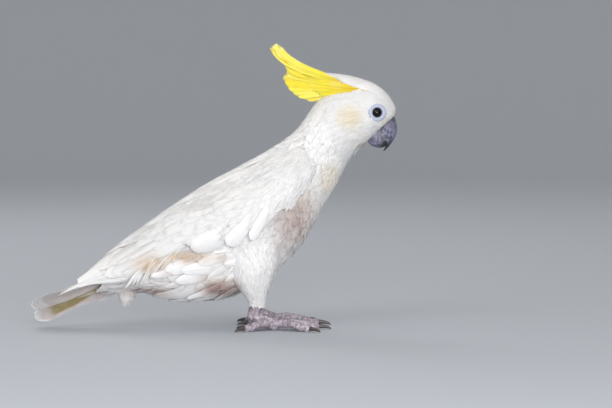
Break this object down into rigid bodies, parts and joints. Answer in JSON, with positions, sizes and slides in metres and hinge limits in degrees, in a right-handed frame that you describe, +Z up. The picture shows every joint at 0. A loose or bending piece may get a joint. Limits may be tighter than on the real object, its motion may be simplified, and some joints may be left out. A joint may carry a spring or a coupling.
{
  "type": "sulphur-crested cockatoo",
  "caption": "White parrot with a swept-back yellow crest, hooked grey beak, folded wings and gripping feet, standing in profile as a still display model.",
  "frame": {"origin": "on the ground, under the middle of the bird's box", "axes": "+X from tail to beak, +Y to the bird's left, +Z up"},
  "size_m": [0.3868, 0.1094, 0.2986],
  "materials": {
    "plumage": "soft white contour feathers over flesh",
    "flight_feathers": "smooth white vanes, cream where worn",
    "crest_feathers": "soft yellow plumes",
    "horn": "dark grey horn with a pale powdery bloom",
    "eyeball": "wet gloss over a very dark brown iris",
    "eye_ring": "bare wrinkled pale blue skin",
    "scaled_skin": "dull grey pebbled scales",
    "claw": "dark horn with a low sheen"
  },
  "bodies": {
    "root": {"head": "plumage", "neck": "plumage", "trunk": "plumage", "tail": "flight_feathers", "crown_feathers": "flight_feathers", "crest": "crest_feathers", "beak_upper": "horn", "beak_lower": "horn", "eye_right": "eyeball", "eye_left": "eyeball", "eye_ring_right": "eye_ring", "eye_ring_left": "eye_ring", "wing_coverts_right": "flight_feathers", "wing_coverts_left": "flight_feathers", "wing_secondaries_right": "flight_feathers", "wing_secondaries_left": "flight_feathers", "wing_primaries_right": "flight_feathers", "wing_primaries_left": "flight_feathers", "thigh_right": "plumage", "thigh_left": "plumage", "foot_right": "scaled_skin", "foot_left": "scaled_skin", "claw_inner_front_right": "claw", "claw_inner_front_left": "claw", "claw_outer_front_right": "claw", "claw_outer_front_left": "claw", "claw_outer_back_right": "claw", "claw_outer_back_left": "claw", "claw_inner_back_right": "claw", "claw_inner_back_left": "claw"}
  },
  "joints": []
}
